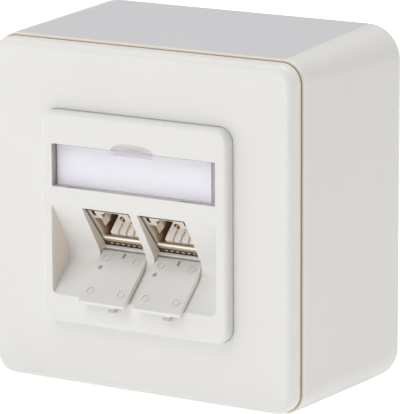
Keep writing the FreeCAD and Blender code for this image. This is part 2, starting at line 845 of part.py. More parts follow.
def make_jack_shell(x):
    """The nickel plated shell: plug opening, latch slot, face holes and the rear chamber."""
    shape = jack_box(x, jack_width, 0, jack_length, -jack_floor, jack_top)
    latch_top = plug_height + latch_rise
    hole_low = plug_height + face_hole_rise - face_hole_height / 2
    hollows = [
        jack_box(x, plug_width, -over, plug_depth + over, -mouth_drop, plug_height),
        jack_box(x, latch_width, -over, plug_depth, plug_height - over, latch_top),
        jack_box(x, latch_slot_width, -over, plug_depth, latch_top - over,
                 latch_top + latch_slot_rise),
        jack_box(x, plug_width, mouth_lip, plug_depth + over, chamber_floor, over),
        jack_box(x, chamber_width, plug_depth, jack_length + over, chamber_floor, chamber_top),
    ]
    pocket_width = plug_width + 2 * spring_pocket_depth
    hollows.append(jack_box(x, pocket_width, spring_start - spring_pocket_gap,
                            spring_reach, spring_low - spring_pocket_gap,
                            spring_low + spring_height + spring_pocket_gap))
    for side in (-1, 1):
        hollows.append(jack_box(x + side * face_hole_spacing / 2, face_hole_width, -over,
                                face_hole_depth, hole_low, hole_low + face_hole_height))
    shape = shape.cut(hollows)
    shape = shape.makeFillet(mouth_lip_round, edges_across(shape, on_jack(0, -mouth_drop)))
    return shape.makeFillet(jack_top_round, edges_across(shape, on_jack(0, jack_top)))


def make_wall_springs(x):
    """Two bent strips inside the opening's side walls that touch the plug's screen."""
    strips = []
    for side in (-1, 1):
        wall = side * plug_width / 2
        thick = side * spring_thickness
        bend = side * spring_bend
        end = spring_reach + spring_return
        path = [(spring_start, wall), (spring_reach, wall - bend), (end, wall),
                (end, wall - thick), (spring_reach, wall - bend - thick),
                (spring_start, wall - thick)]
        corners = []
        for inward, across in path:
            corners.append(Vector(x + across, *on_jack(inward, spring_low)))
        face = Part.Face(Part.makePolygon(corners + corners[:1]))
        strips.append(face.extrude(Vector(0, *jack_up) * spring_height))
    return group(strips)


def make_contact_block(x):
    """The white insulator: a grooved comb under the plug and a wall across the chamber."""
    fit = board_margin / 2
    low = chamber_floor
    front = mouth_lip + board_margin
    outline = [on_jack(front, low), on_jack(front, -comb_ramp), on_jack(comb_ramp_end, 0),
               on_jack(plug_depth, 0), on_jack(plug_depth, low)]
    half = plug_width / 2 - comb_side_gap
    shape = side_prism(outline, x - half, x + half)
    shape = shape.fuse(jack_box(x, chamber_width - 2 * fit, plug_depth, board_front,
                                low, chamber_top - fit))
    row_low = contact_row - comb_groove / 2
    row_high = contact_row + comb_groove / 2
    for i, offset in enumerate(contact_offsets()):
        centre = x + offset
        shape = shape.cut(jack_box(centre, comb_groove, comb_groove_end, board_front + over,
                                   row_low, row_high))
        open_from = front - over if i % 2 == 1 else contact_folds[0] - comb_groove
        shape = shape.cut(jack_box(centre, comb_groove, open_from, comb_open_to,
                                   row_low, plug_height))
    return shape.removeSplitter()


def make_contacts(x):
    """Eight gold plated wires, each folded back to press on the plug's own contacts."""
    wires = []
    for i, offset in enumerate(contact_offsets()):
        start = on_jack(board_front, contact_row)
        turn = on_jack(contact_folds[i % 2], contact_row)
        tip = on_jack(contact_tip, contact_row + contact_rise)
        elbow = Part.makeSphere(contact_diameter / 2, Vector(x + offset, *turn))
        wire = elbow.fuse([strut(x + offset, start, turn), strut(x + offset, turn, tip)])
        wires.append(wire.removeSplitter())
    return group(wires)


def strut(x, start, end):
    """A round wire between two side-view points."""
    along = Vector(x, *end) - Vector(x, *start)
    return Part.makeCylinder(contact_diameter / 2, along.Length, Vector(x, *start), along)


def make_circuit_board(x):
    return jack_box(x, board_width, board_front, board_back, board_low, board_high)


def make_wire_block(x):
    """The termination block behind the board: two rows of four slots for the cable's wires."""
    shape = jack_box(x, board_width, board_back, block_back, board_low, board_high)
    deep = block_back - wire_slot_depth
    middle = (board_low + board_high) / 2
    half = wire_trough / 2
    shape = shape.cut(jack_box(x, board_width + over, deep, block_back + over,
                               middle - half, middle + half))
    for i in range(contact_count // 2):
        centre = x - board_width / 2 + (i + 0.5) * board_width / (contact_count // 2)
        shape = shape.cut(jack_box(centre, wire_slot_width, deep, block_back + over,
                                   board_low - over, board_high + over))
    return shape


def make_wire_cap(x):
    """The rear cap that presses the wires home: an open box with a hole for the cable."""
    back = block_back + cap_length
    shape = jack_box(x, board_width, block_back, back, board_low, board_high)
    shape = shape.cut(jack_box(x, board_width - 2 * cap_wall, block_back - over, back - cap_wall,
                               board_low + cap_wall, board_high - cap_wall))
    return shape.cut(cable_rod(x, cable_diameter, block_back, back + over))


def cable_rod(x, diameter, in_from, in_to):
    """A round bar along the jack, where its cable runs."""
    start = Vector(x, *on_jack(in_from, (board_low + board_high) / 2))
    return Part.makeCylinder(diameter / 2, in_to - in_from, start, Vector(0, *jack_in))


def make_cable_clamp(x):
    """The split ring that grips the cable's screen behind the cap."""
    start = block_back + cap_length
    end = start + clamp_length
    middle = (board_low + board_high) / 2
    ring = cable_rod(x, cable_diameter + 2 * cap_wall, start, end)
    ring = ring.cut(cable_rod(x, cable_diameter, start - over, end + over))
    return ring.cut(jack_box(x, clamp_split, start - over, end + over,
                             middle, middle + cable_diameter))


PART_MAKERS = {
    "hood": make_hood,
    "wall_base": make_wall_base,
    "hood_screws": make_hood_screws,
    "support_frame": make_support_frame,
    "cover_frame": make_cover_frame,
    "centre_plate": make_centre_plate,
    "label_card": make_label_card,
    "label_window": make_label_window,
    "centre_plate_screw": make_plate_screw,
    "module_carrier": make_module_carrier,
    "carrier_screws": make_carrier_screws,
    "support_frame_screws": make_support_frame_screws,
    "earth_strip": make_earth_strip,
}

SIDED_MAKERS = {
    "dust_cover": make_dust_cover,
    "jack_shell": make_jack_shell,
    "wall_springs": make_wall_springs,
    "contact_block": make_contact_block,
    "contacts": make_contacts,
    "circuit_board": make_circuit_board,
    "wire_block": make_wire_block,
    "wire_cap": make_wire_cap,
    "cable_clamp": make_cable_clamp,
}

os.makedirs("parts", exist_ok=True)
for name, maker in PART_MAKERS.items():
    maker().exportStep("parts/" + name + ".step")
for side, x_centre in port_centres.items():
    for name, maker in SIDED_MAKERS.items():
        maker(x_centre).exportStep("parts/" + name + "_" + side + ".step")
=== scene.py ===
import json
import math

import bmesh
import bpy
from mathutils import Matrix, Vector


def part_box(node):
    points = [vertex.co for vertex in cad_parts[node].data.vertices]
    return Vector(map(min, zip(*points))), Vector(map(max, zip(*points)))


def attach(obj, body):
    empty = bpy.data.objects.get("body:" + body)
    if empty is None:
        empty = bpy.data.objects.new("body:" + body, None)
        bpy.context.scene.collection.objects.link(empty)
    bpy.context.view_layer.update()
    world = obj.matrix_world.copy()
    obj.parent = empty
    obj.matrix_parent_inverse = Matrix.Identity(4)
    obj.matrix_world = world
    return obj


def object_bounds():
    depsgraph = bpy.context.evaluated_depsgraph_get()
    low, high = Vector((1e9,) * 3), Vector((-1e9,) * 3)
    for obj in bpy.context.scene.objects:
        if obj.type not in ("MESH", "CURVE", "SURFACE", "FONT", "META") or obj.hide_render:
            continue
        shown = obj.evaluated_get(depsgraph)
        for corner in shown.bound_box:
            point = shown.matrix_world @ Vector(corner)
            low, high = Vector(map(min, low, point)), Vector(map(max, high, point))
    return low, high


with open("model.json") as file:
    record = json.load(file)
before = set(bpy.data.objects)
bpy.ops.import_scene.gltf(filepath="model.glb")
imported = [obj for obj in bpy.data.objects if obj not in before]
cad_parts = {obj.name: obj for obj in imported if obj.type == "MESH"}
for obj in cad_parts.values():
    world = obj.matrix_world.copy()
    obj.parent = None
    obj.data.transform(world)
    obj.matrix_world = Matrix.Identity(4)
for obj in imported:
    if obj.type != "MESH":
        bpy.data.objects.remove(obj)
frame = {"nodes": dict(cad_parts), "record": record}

cad_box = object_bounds()
nodes = frame["nodes"]


# ---- camera ------------------------------------------------------------------------------------
# A long lens a little above the box and to its right, level to within a third of a degree. It
# looks at the middle of the box's depth.

view_azimuth = math.radians(30.96)
view_elevation = math.radians(12.86)
view_roll = math.radians(-0.29)
view_distance = 0.8068
view_target = Vector((0.001523, -0.02209, -0.000609))
lens_focal_mm = 301.0

lens_back = Vector((math.sin(view_azimuth) * math.cos(view_elevation),
                    -math.cos(view_azimuth) * math.cos(view_elevation),
                    math.sin(view_elevation)))
camera_data = bpy.data.cameras.new("studio_camera")
camera_data.lens = lens_focal_mm
camera_data.sensor_width = 36.0
camera_data.clip_start, camera_data.clip_end = 0.05, 20.0
camera = bpy.data.objects.new("studio_camera", camera_data)
bpy.context.collection.objects.link(camera)
camera.rotation_mode = "QUATERNION"
camera.location = view_target + lens_back * view_distance
level = (-lens_back).to_track_quat("-Z", "Y")
camera.rotation_quaternion = level @ Matrix.Rotation(view_roll, 4, "Z").to_quaternion()
bpy.context.scene.camera = camera


# ---- floor and light ---------------------------------------------------------------------------
# A wide sheet of matt white board under the box, which glows a little so that it stays paler than
# the white plastic. Two soft lights hang above, one stands at the left and a weak one at the right,
# behind the front. A small one low in front reaches up into the jacks.

floor_reach = 4.0
floor_drop = 0.0002
floor_white = (0.93, 0.93, 0.93)
floor_glow = 0.30
floor_glow_seen = 0.62

floor_mesh = bpy.data.meshes.new("studio_floor")
sheet = bmesh.new()
bmesh.ops.create_grid(sheet, x_segments=8, y_segments=8, size=floor_reach)
sheet.to_mesh(floor_mesh)
sheet.free()
studio_floor = bpy.data.objects.new("studio_floor", floor_mesh)
bpy.context.collection.objects.link(studio_floor)
studio_floor.location.z = cad_box[0].z - floor_drop

floor_board = bpy.data.materials.new("matt_white_board")
floor_board.use_nodes = True
floor_shader = floor_board.node_tree.nodes["Principled BSDF"]
floor_shader.inputs["Base Color"].default_value = (*floor_white, 1)
floor_shader.inputs["Roughness"].default_value = 0.9
floor_shader.inputs["Emission Color"].default_value = (1, 1, 1, 1)
# seen directly it is lit evenly, so that only a faint shadow is left at the foot of the box
floor_seen = floor_board.node_tree.nodes.new("ShaderNodeLightPath")
floor_strength = floor_board.node_tree.nodes.new("ShaderNodeMapRange")
floor_strength.inputs["To Min"].default_value = floor_glow
floor_strength.inputs["To Max"].default_value = floor_glow_seen
floor_board.node_tree.links.new(floor_seen.outputs["Is Camera Ray"], floor_strength.inputs["Value"])
floor_board.node_tree.links.new(floor_strength.outputs["Result"],
                                floor_shader.inputs["Emission Strength"])
floor_mesh.materials.append(floor_board)


def soft_light(name, size, power, place, aim):
    """A square soft light, its strength in watts, at a place and turned to an aim point."""
    lamp = bpy.data.lights.new(name, "AREA")
    lamp.shape, lamp.size, lamp.energy = "SQUARE", size, power
    light = bpy.data.objects.new(name, lamp)
    light.location = place
    light.rotation_mode = "QUATERNION"
    light.rotation_quaternion = (Vector(aim) - Vector(place)).to_track_quat("-Z", "Y")
    bpy.context.collection.objects.link(light)
    return light


box_middle = (cad_box[0] + cad_box[1]) / 2
soft_light("left_softbox", 0.8, 3.15, (-1.25, -0.65, 0.30), box_middle)
soft_light("low_front_light", 0.24, 1.45, (-0.30, -1.30, 0.10), box_middle)
soft_light("front_overhead", 0.8, 5.5, (-0.20, -0.70, 1.00), box_middle)
soft_light("rear_overhead", 0.7, 7.8, (0.10, 0.35, 1.20), box_middle)
soft_light("right_softbox", 0.6, 2.4, (1.15, 0.30, 0.15), box_middle)

# the air lights the box weakly, and looks as pale as the board behind it
air_light = 0.20
air_light_seen = 0.96
studio_air = bpy.data.worlds.new("studio_air")
studio_air.use_nodes = True
air_tree = studio_air.node_tree
air_glow = air_tree.nodes["Background"]
air_glow.inputs["Color"].default_value = (1, 1, 1, 1)
air_seen = air_tree.nodes.new("ShaderNodeLightPath")
air_strength = air_tree.nodes.new("ShaderNodeMapRange")
air_strength.inputs["To Min"].default_value = air_light
air_strength.inputs["To Max"].default_value = air_light_seen
air_tree.links.new(air_seen.outputs["Is Camera Ray"], air_strength.inputs["Value"])
air_tree.links.new(air_strength.outputs["Result"], air_glow.inputs["Strength"])
bpy.context.scene.world = studio_air
bpy.context.scene.view_settings.view_transform = "Standard"


# ---- hood --------------------------------------------------------------------------------------
# The outer housing is injection moulded in white plastic, with walls that taper to the front. The
# mould leaves a very fine even grain, and the sheen varies a little where the plastic flowed.

def add_node(tree, kind, **settings):
    """A shader node with its sockets set by name, such as Scale=4."""
    node = tree.nodes.new(kind)
    for socket, value in settings.items():
        node.inputs[socket.replace("_", " ")].default_value = value
    return node


def blank_finish(name):
    """A new material with its Principled shader and a texture coordinate node."""
    finish = bpy.data.materials.new(name)
    finish.use_nodes = True
    tree = finish.node_tree
    return finish, tree, tree.nodes["Principled BSDF"], tree.nodes.new("ShaderNodeTexCoord")


def moulded_plastic(name, colour, sheen_low, sheen_high, grain_per_m=3200.0, grain_depth=0.035):
    """Injection moulded plastic: a fine grain, a slight mottle of tone and an uneven sheen."""
    finish, tree, shader, coords = blank_finish(name)
    flow = add_node(tree, "ShaderNodeTexNoise", Scale=38.0, Detail=3.0, Roughness=0.55)
    grain = add_node(tree, "ShaderNodeTexNoise", Scale=grain_per_m, Detail=2.0, Roughness=0.6)
    tone = tree.nodes.new("ShaderNodeMix")
    tone.data_type = "RGBA"
    darker = [c * 0.975 for c in colour]
    tone.inputs["A"].default_value = (*darker, 1)
    tone.inputs["B"].default_value = (*colour, 1)
    sheen = add_node(tree, "ShaderNodeMapRange", To_Min=sheen_low, To_Max=sheen_high)
    bump = add_node(tree, "ShaderNodeBump", Strength=grain_depth, Distance=0.0001)
    link = tree.links.new
    link(coords.outputs["Object"], flow.inputs["Vector"])
    link(coords.outputs["Object"], grain.inputs["Vector"])
    link(flow.outputs["Fac"], tone.inputs["Factor"])
    link(tone.outputs["Result"], shader.inputs["Base Color"])
    link(flow.outputs["Fac"], sheen.inputs["Value"])
    link(sheen.outputs["Result"], shader.inputs["Roughness"])
    link(grain.outputs["Fac"], bump.inputs["Height"])
    link(bump.outputs["Normal"], shader.inputs["Normal"])
    return finish


def finish_node(node_name, finish):
    """Gives a carried-over solid its finish."""
    mesh = nodes[node_name].data
    mesh.materials.clear()
    mesh.materials.append(finish)


def along(finish, socket, direction, start, end):
    """A mask that rises from 0 to 1 as a texture coordinate goes along a direction."""
    tree = finish.node_tree
    coords = tree.nodes.new("ShaderNodeTexCoord")
    reach = tree.nodes.new("ShaderNodeVectorMath")
    reach.operation = "DOT_PRODUCT"
    reach.inputs[1].default_value = tuple(direction)
    ramp = add_node(tree, "ShaderNodeMapRange", From_Min=start, From_Max=end)
    tree.links.new(coords.outputs[socket], reach.inputs[0])
    tree.links.new(reach.outputs["Value"], ramp.inputs["Value"])
    return ramp.outputs["Result"]


def beyond(finish, direction, start, fade=0.0001):
    """A mask that is 1 past a distance along a direction, and fades out over the length before it."""
    return along(finish, "Object", direction, start - fade, start)


def both(finish, *masks):
    """The product of several masks."""
    tree = finish.node_tree
    result = masks[0]
    for mask in masks[1:]:
        product = tree.nodes.new("ShaderNodeMath")
        product.operation = "MULTIPLY"
        tree.links.new(result, product.inputs[0])
        tree.links.new(mask, product.inputs[1])
        result = product.outputs["Value"]
    return result


def band(finish, direction, low, high, fade=0.0001):
    """A mask that is 1 between two distances along a direction, and fades out past either."""
    return both(finish, beyond(finish, direction, low, fade),
                beyond(finish, -Vector(direction), -high, fade))


def tint_where(finish, mask, tint):
    """Multiplies the base colour by a tint where the mask is 1."""
    tree = finish.node_tree
    base = tree.nodes["Principled BSDF"].inputs["Base Color"]
    stain = tree.nodes.new("ShaderNodeMix")
    stain.data_type = "RGBA"
    stain.blend_type = "MULTIPLY"
    stain.inputs["B"].default_value = (*tint, 1)
    tree.links.new(base.links[0].from_socket, stain.inputs["A"])
    tree.links.new(mask, stain.inputs["Factor"])
    tree.links.new(stain.outputs["Result"], base)


def outside_outline(finish, low, high, corner, start, end):
    """A mask that rises with the distance outside a round-cornered rectangle in the front plane."""
    tree = finish.node_tree
    coords = tree.nodes.new("ShaderNodeTexCoord")
    chain = (("SUBTRACT", ((low.x + high.x) / 2, 0, (low.z + high.z) / 2)),
             ("MULTIPLY", (1, 0, 1)),
             ("ABSOLUTE", (0, 0, 0)),
             ("SUBTRACT", ((high.x - low.x) / 2 - corner, 0, (high.z - low.z) / 2 - corner)),
             ("MAXIMUM", (0, 0, 0)))
    point = coords.outputs["Object"]
    for operation, value in chain:
        step = tree.nodes.new("ShaderNodeVectorMath")
        step.operation = operation
        step.inputs[1].default_value = value
        tree.links.new(point, step.inputs[0])
        point = step.outputs["Vector"]
    length = tree.nodes.new("ShaderNodeVectorMath")
    length.operation = "LENGTH"
    ramp = add_node(tree, "ShaderNodeMapRange", From_Min=corner + start, From_Max=corner + end)
    tree.links.new(point, length.inputs[0])
    tree.links.new(length.outputs["Value"], ramp.inputs["Value"])
    return ramp.outputs["Result"]


rightward, backward, upward = (1, 0, 0), (0, 1, 0), (0, 0, 1)
leftward, forward, downward = (-1, 0, 0), (0, -1, 0), (0, 0, -1)

hood_white = moulded_plastic("hood_white", (0.80, 0.785, 0.76), 0.38, 0.50)
hood_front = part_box("hood")[0].y
# the flat top is painted darker and cooler, as shade, and the thin front rim is painted brighter and
# warmer, as a highlight
top_shade_paint = (0.83, 0.835, 0.905)
rim_highlight_paint = (1.08, 1.03, 0.96)
rim_depth = 0.0007
tint_where(hood_white, along(hood_white, "Normal", upward, 0.9988, 0.9994), top_shade_paint)
tint_where(hood_white, beyond(hood_white, forward, -hood_front - rim_depth, 0.0004), rim_highlight_paint)
# painted shade: the hood is tinted dark brown in the narrow seam round the cover frame
seam_shade_paint = (0.56, 0.46, 0.36)
seam_depth = 0.0003
seam_start, seam_end = 0.00024, 0.00006
frame_low, frame_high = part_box("cover_frame")
frame_corner = 0.0047
seam = both(hood_white, beyond(hood_white, forward, -hood_front - seam_depth, 0.0002),
            outside_outline(hood_white, frame_low, frame_high, frame_corner, seam_start, seam_end))
tint_where(hood_white, seam, seam_shade_paint)
finish_node("hood", hood_white)


# ---- cover frame -------------------------------------------------------------------------------
# The square outer frame is moulded in the same white, and polished a little more than the hood. Its
# edge next to the hood is painted darker and warmer, as the shade in the seam.

face_white = (0.83, 0.82, 0.795)
frame_white = moulded_plastic("frame_white", face_white, 0.30, 0.42)
back_edge_shade_paint = (1.0, 0.93, 0.85)
back_edge_depth = 0.0005
tint_where(frame_white, beyond(frame_white, backward, frame_high.y - back_edge_depth, 0.0003),
           back_edge_shade_paint)
finish_node("cover_frame", frame_white)


# ---- centre plate ------------------------------------------------------------------------------
# The plate is moulded like the cover frame, and one screw under the label holds it. It has a pocket
# for the label with a finger notch above, and a recess that slants back to the two jacks.

plate_white = moulded_plastic("plate_white", face_white, 0.30, 0.42)
plate_low, plate_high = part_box("centre_plate")
window_low, window_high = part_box("label_window")
card_low, card_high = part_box("label_card")
face_depth = 0.0012
facing_right = along(plate_white, "Normal", rightward, 0.5, 0.7)
behind_face = beyond(plate_white, backward, plate_low.y + face_depth, 0.0004)

# the walls that face right in the recess are painted warmer and a little darker, as the shade and
# warm light caught between the recess walls
recess_shade_paint = (1.0, 0.925, 0.84)
recess_top = 0.0036
rim_width = 0.003
painted_recess_shade = both(plate_white, behind_face, facing_right,
                   beyond(plate_white, downward, -recess_top, 0.0004),
                   beyond(plate_white, leftward, rim_width - plate_high.x, 0.001))
tint_where(plate_white, painted_recess_shade, recess_shade_paint)

# the label pocket is in the shade of the clear window, all but its floor
wall_shade = (0.58, 0.56, 0.58)
left_wall_shade = (0.60, 0.45, 0.38)
pocket_light = (1.06, 1.05, 1.06)
pocket_low, pocket_high = card_low.z - 0.0008, card_high.z + 0.0004
pocket_reach = window_high.x + 0.0012
in_pocket = both(plate_white, behind_face,
                 band(plate_white, upward, pocket_low, pocket_high, 0.0004),
                 band(plate_white, rightward, -pocket_reach, pocket_reach, 0.0002))
pocket_walls = both(plate_white, in_pocket, along(plate_white, "Normal", downward, -0.7, -0.5))
tint_where(plate_white, pocket_walls, wall_shade)
tint_where(plate_white, both(plate_white, in_pocket, facing_right), left_wall_shade)
tint_where(plate_white, in_pocket, pocket_light)

# the finger notch is bright, where the light falls straight in
notch_light = (1.12, 1.11, 1.10)
notch_low, notch_front = card_high.z + 0.0002, plate_low.y + 0.0003
plate_corner = 0.003
rim_start, rim_end = -0.0025, -0.0035
in_notch = both(plate_white, beyond(plate_white, upward, notch_low, 0.0002),
                beyond(plate_white, backward, notch_front, 0.0002),
                outside_outline(plate_white, plate_low, plate_high, plate_corner, rim_start, rim_end))
tint_where(plate_white, in_notch, notch_light)

# the sill under the jacks is bright too; jack_in runs into the leaning jacks, jack_up up their faces
mounts = {mount["name"]: mount for mount in frame["record"]["mounts"]}
plug_seat = Vector(mounts["plug_left"]["pos_m"])
plug_out = Vector(mounts["plug_left"]["axis"])
jack_in = -plug_out
jack_up = Vector((0, -jack_in.z, jack_in.y))
seat_out = plug_seat.dot(plug_out)
plug_middle = plug_seat.dot(jack_up)
sill_light = (1.16, 1.16, 1.17)
sill_start, sill_end = seat_out + 0.0004, seat_out + 0.0017
sill_low, sill_high = plug_middle - 0.0063, plug_middle - 0.0057
sill = both(plate_white, beyond(plate_white, plug_out, sill_start),
            beyond(plate_white, -plug_out, -sill_end, 0.0002),
            band(plate_white, jack_up, sill_low, sill_high))
tint_where(plate_white, sill, sill_light)
finish_node("centre_plate", plate_white)


# ---- dust covers -------------------------------------------------------------------------------
# Each cover is a flat moulded flap on two pins, with four ejector marks, the stub of its gate and a
# slot at the hinge. Its cut edges are painted lighter, as light coming through, and its gate and slot
# are painted darker, as shade in their hollows.

gate_shade_paint = (0.56, 0.49, 0.40)
gate_start, gate_end, gate_reach = 0.0063, 0.0079, 0.0070
slot_shade_paint = (0.76, 0.68, 0.57)
slot_start, slot_end, slot_reach = 0.0023, 0.0046, 0.0007
sunk_depth = 0.00012
cut_edge_light = (1.16, 1.11, 1.04)
nub_shade = (0.66, 0.64, 0.61)
nub_height = 0.0008

for side in ("left", "right"):
    cover_white = moulded_plastic("cover_white_" + side, face_white, 0.34, 0.46)
    cover = nodes["dust_cover_" + side].data.vertices
    cover_face = max(vertex.co.dot(jack_up) for vertex in cover)
    centre_x = mounts["plug_" + side]["pos_m"][0]
    sunk = both(cover_white, along(cover_white, "Normal", jack_up, 0.8, 0.9),
                beyond(cover_white, -jack_up, sunk_depth - cover_face, 0.00007))
    # the torn gate and the slot at the hinge are painted darker, as shade in their hollows: each is a
    # band out from the jack
    for start, end, reach, hollow_shade in ((gate_start, gate_end, gate_reach, gate_shade_paint),
                                    (slot_start, slot_end, slot_reach, slot_shade_paint)):
        painted_hollow_shade = both(cover_white, sunk,
                     band(cover_white, plug_out, seat_out + start, seat_out + end),
                     band(cover_white, rightward, centre_x - reach, centre_x + reach))
        tint_where(cover_white, painted_hollow_shade, hollow_shade)
    # the cut right-hand edge lets the light through
    tint_where(cover_white, along(cover_white, "Normal", rightward, 0.7, 0.9), cut_edge_light)
    # the finger nub hangs below the rest of the flap and is seen against the light
    nub_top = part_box("dust_cover_" + side)[0].z + nub_height
    tint_where(cover_white, beyond(cover_white, downward, -nub_top), nub_shade)
    finish_node("dust_cover_" + side, cover_white)


# ---- wall base and module carrier --------------------------------------------------------------
# Both are moulded in a plainer off-white with a coarser matt grain, because neither shows once the
# box is on the wall. Screws hold the carrier on the ring, and the base on the wall.

inner_white = moulded_plastic("inner_white", (0.72, 0.715, 0.70), 0.55, 0.70, 1800.0, 0.08)
finish_node("wall_base", inner_white)
finish_node("module_carrier", inner_white)


# ---- label window and card ---------------------------------------------------------------------
# The window is clear polished plastic with a very slight violet tint, and looks darker at its edges.
# It tips out on two lugs. The card behind it is plain white board with a faint fibre.

def clear_plastic(name, tint, edge_tint, face_density, edge_density):
    """Polished clear plastic as a thin tinted film that still shows gloss."""
    finish, tree, shader, coords = blank_finish(name)
    swirl = add_node(tree, "ShaderNodeTexNoise", Scale=60.0, Detail=1.0)
    gloss = add_node(tree, "ShaderNodeMapRange", To_Min=0.05, To_Max=0.11)
    tree.links.new(coords.outputs["Object"], swirl.inputs["Vector"])
    tree.links.new(swirl.outputs["Fac"], gloss.inputs["Value"])
    tree.links.new(gloss.outputs["Result"], shader.inputs["Roughness"])
    # the edges of clear plastic gather the tint and look darker than its faces
    face_on = tree.nodes.new("ShaderNodeVectorMath")
    face_on.operation = "DOT_PRODUCT"
    face_on.inputs[1].default_value = backward
    tree.links.new(coords.outputs["Normal"], face_on.inputs[0])
    flat = tree.nodes.new("ShaderNodeMath")
    flat.operation = "ABSOLUTE"
    tree.links.new(face_on.outputs["Value"], flat.inputs[0])
    density = add_node(tree, "ShaderNodeMapRange", From_Min=0.3, From_Max=0.7,
                       To_Min=edge_density, To_Max=face_density)
    tone = tree.nodes.new("ShaderNodeMix")
    tone.data_type = "RGBA"
    tone.inputs["A"].default_value = (*edge_tint, 1)
    tone.inputs["B"].default_value = (*tint, 1)
    tree.links.new(flat.outputs["Value"], density.inputs["Value"])
    tree.links.new(flat.outputs["Value"], tone.inputs["Factor"])
    tree.links.new(density.outputs["Result"], shader.inputs["Alpha"])
    tree.links.new(tone.outputs["Result"], shader.inputs["Base Color"])
    shader.inputs["IOR"].default_value = 1.49
    return finish


window_clear = clear_plastic("window_clear", (0.86, 0.85, 0.93), (0.51, 0.46, 0.48), 0.05, 0.60)
# the rib under the finger notch is thicker, so it shows more of the tint
rib_shade = (0.62, 0.60, 0.64)
rib_density = 0.40
rib_middle = (window_low.x + window_high.x) / 2
rib_half_width = 0.0053
rib_low, rib_high = card_high.z - 0.0009, card_high.z + 0.0001
rib_skin = 0.00008
rib = both(window_clear, band(window_clear, upward, rib_low, rib_high),
           beyond(window_clear, forward, -window_low.y - rib_skin, 0.00004),
           band(window_clear, rightward, rib_middle - rib_half_width, rib_middle + rib_half_width))
tint_where(window_clear, rib, rib_shade)
window_shader = window_clear.node_tree.nodes["Principled BSDF"]
window_density = window_shader.inputs["Alpha"]
thicker = window_clear.node_tree.nodes.new("ShaderNodeMath")
thicker.operation = "MULTIPLY_ADD"
thicker.use_clamp = True
thicker.inputs[1].default_value = rib_density
window_clear.node_tree.links.new(rib, thicker.inputs[0])
window_clear.node_tree.links.new(window_density.links[0].from_socket, thicker.inputs[2])
window_clear.node_tree.links.new(thicker.outputs["Value"], window_density)
finish_node("label_window", window_clear)


def card_board(name, colour):
    """White card: a faint cloudy fibre under a smooth face."""
    finish, tree, shader, coords = blank_finish(name)
    fibre = add_node(tree, "ShaderNodeTexNoise", Scale=900.0, Detail=5.0, Roughness=0.7)
    tone = tree.nodes.new("ShaderNodeMix")
    tone.data_type = "RGBA"
    tone.inputs["A"].default_value = (*[c * 0.96 for c in colour], 1)
    tone.inputs["B"].default_value = (*colour, 1)
    bump = add_node(tree, "ShaderNodeBump", Strength=0.08, Distance=0.0001)
    tree.links.new(coords.outputs["Object"], fibre.inputs["Vector"])
    tree.links.new(fibre.outputs["Fac"], tone.inputs["Factor"])
    tree.links.new(tone.outputs["Result"], shader.inputs["Base Color"])
    tree.links.new(fibre.outputs["Fac"], bump.inputs["Height"])
    tree.links.new(bump.outputs["Normal"], shader.inputs["Normal"])
    shader.inputs["Roughness"].default_value = 0.75
    return finish


finish_node("label_card", card_board("card_white", (0.95, 0.935, 0.985)))


# ---- jack shells and springs -------------------------------------------------------------------
# Each shell is a nickel plated zinc casting, its face finely ground. Two bent strips of nickel
# silver are pressed into its side walls and touch the screen of the plug.

def plated_metal(name, colour, rough_low, rough_high, grain_scale, brush=(1.0, 1.0, 1.0),
                 metallic=1.0):
    """Plated metal, with fine grinding marks drawn out along the brush direction."""
    finish, tree, shader, coords = blank_finish(name)
    stretch = add_node(tree, "ShaderNodeMapping")
    stretch.inputs["Scale"].default_value = brush
    marks = add_node(tree, "ShaderNodeTexNoise", Scale=grain_scale, Detail=4.0, Roughness=0.65)
    rough = add_node(tree, "ShaderNodeMapRange", To_Min=rough_low, To_Max=rough_high)
    tone = tree.nodes.new("ShaderNodeMix")
    tone.data_type = "RGBA"
    tone.inputs["A"].default_value = (*[c * 0.88 for c in colour], 1)
    tone.inputs["B"].default_value = (*colour, 1)
    bump = add_node(tree, "ShaderNodeBump", Strength=0.05, Distance=0.0001)
    tree.links.new(coords.outputs["Object"], stretch.inputs["Vector"])
    tree.links.new(stretch.outputs["Vector"], marks.inputs["Vector"])
    tree.links.new(marks.outputs["Fac"], rough.inputs["Value"])
    tree.links.new(marks.outputs["Fac"], tone.inputs["Factor"])
    tree.links.new(marks.outputs["Fac"], bump.inputs["Height"])
    tree.links.new(rough.outputs["Result"], shader.inputs["Roughness"])
    tree.links.new(tone.outputs["Result"], shader.inputs["Base Color"])
    tree.links.new(bump.outputs["Normal"], shader.inputs["Normal"])
    shader.inputs["Metallic"].default_value = metallic
    return finish


def glow_where(finish, mask, colour, strength):
    """Adds a little light of its own where the mask is 1: painted light for what scatters more than
    it shows, and painted highlights.
    """
    tree = finish.node_tree
    shader = tree.nodes["Principled BSDF"]
    level = tree.nodes.new("ShaderNodeMath")
    level.operation = "MULTIPLY"
    level.inputs[1].default_value = strength
    shader.inputs["Emission Color"].default_value = (*colour, 1)
    tree.links.new(mask, level.inputs[0])
    tree.links.new(level.outputs["Value"], shader.inputs["Emission Strength"])


spring_nickel = plated_metal("spring_nickel", (0.95, 0.89, 0.81), 0.25, 0.35, 1500.0,
                             (1, 1, 1), 0.4)
mouth_out = min(vertex.co.dot(jack_in) for vertex in nodes["jack_shell_left"].data.vertices)
plug_height = 0.0069
plug_top = plug_middle + plug_height / 2
lip_bottom = plug_middle - 0.00545
# the plating inside the opening is painted brown and darker further in, as the shade and warm
# reflections inside it, and darkest above the plug
inside_shade_brown, inside_shade_start = (0.68, 0.51, 0.36), mouth_out + 0.0007
deep_shade_brown, deep_start = (0.52, 0.42, 0.31), mouth_out + 0.0032
over_plug_shade_brown, over_plug_start = (0.45, 0.36, 0.28), mouth_out + 0.0004
